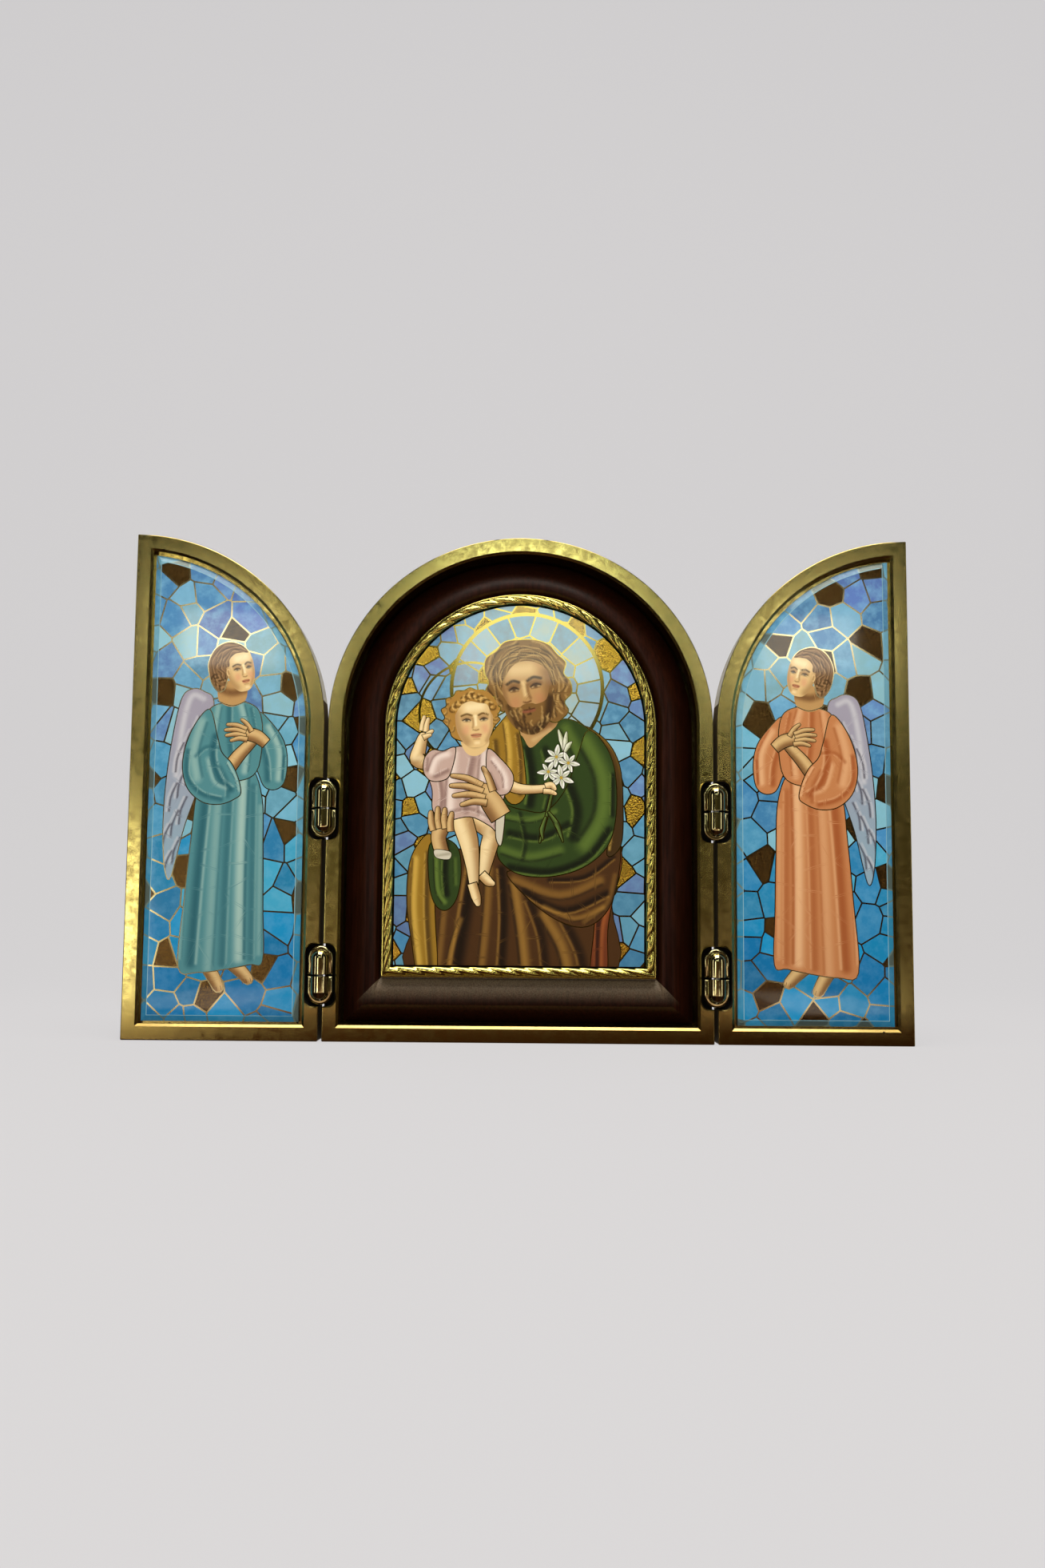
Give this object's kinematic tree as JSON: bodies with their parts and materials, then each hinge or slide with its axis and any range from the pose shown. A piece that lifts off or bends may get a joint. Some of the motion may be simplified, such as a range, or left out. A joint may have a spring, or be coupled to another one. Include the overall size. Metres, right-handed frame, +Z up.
{
  "type": "triptych altarpiece",
  "caption": "Small standing triptych: arched centre panel with a raised wood field and rope-edged picture, and hinged quarter-round picture wings, in gilt metal frames.",
  "frame": {"origin": "under the middle of the open triptych, on the surface that it stands on", "axes": "+Z up, +X to the right of a viewer in front, the pictures face -Y"},
  "size_m": [0.1556, 0.015, 0.101],
  "materials": {
    "gilt_frame": "aged gilt, satin with fine brushing, small dark pits and brown patina",
    "bright_gilt": "bright gilt, polished on the high strands",
    "polished_brass": "mirror polished",
    "steel_pin": "plain turned",
    "dark_wood": "satin lacquered dark red-brown",
    "centre_enamel": "glossy mosaic-style enamel in sky blue, green and ochre with gold lines",
    "wing_enamel": "glossy mosaic-style enamel in blue, teal and coral with gold lines"
  },
  "bodies": {
    "centre": {"centre_frame": "gilt_frame", "wood_panel": "dark_wood", "centre_picture": "centre_enamel", "rope_border": "bright_gilt", "left_upper_hinge_centre_knuckle": "polished_brass", "left_upper_hinge_pin": "steel_pin", "left_lower_hinge_centre_knuckle": "polished_brass", "left_lower_hinge_pin": "steel_pin", "right_upper_hinge_centre_knuckle": "polished_brass", "right_upper_hinge_pin": "steel_pin", "right_lower_hinge_centre_knuckle": "polished_brass", "right_lower_hinge_pin": "steel_pin"},
    "left_wing": {"left_wing_frame": "gilt_frame", "left_wing_picture": "wing_enamel", "left_upper_hinge_wing_knuckle": "polished_brass", "left_lower_hinge_wing_knuckle": "polished_brass"},
    "right_wing": {"right_wing_frame": "gilt_frame", "right_wing_picture": "wing_enamel", "right_upper_hinge_wing_knuckle": "polished_brass", "right_lower_hinge_wing_knuckle": "polished_brass"}
  },
  "joints": [
    {"name": "left_wing_fold", "type": "hinge", "parent": "centre", "child": "left_wing", "pos_m": [-0.039, -0.0057, 0], "axis": [0, 0, 1], "range_deg": [0, 180]},
    {"name": "right_wing_fold", "type": "hinge", "parent": "centre", "child": "right_wing", "pos_m": [0.039, -0.0057, 0], "axis": [0, 0, -1], "range_deg": [0, 180]}
  ]
}
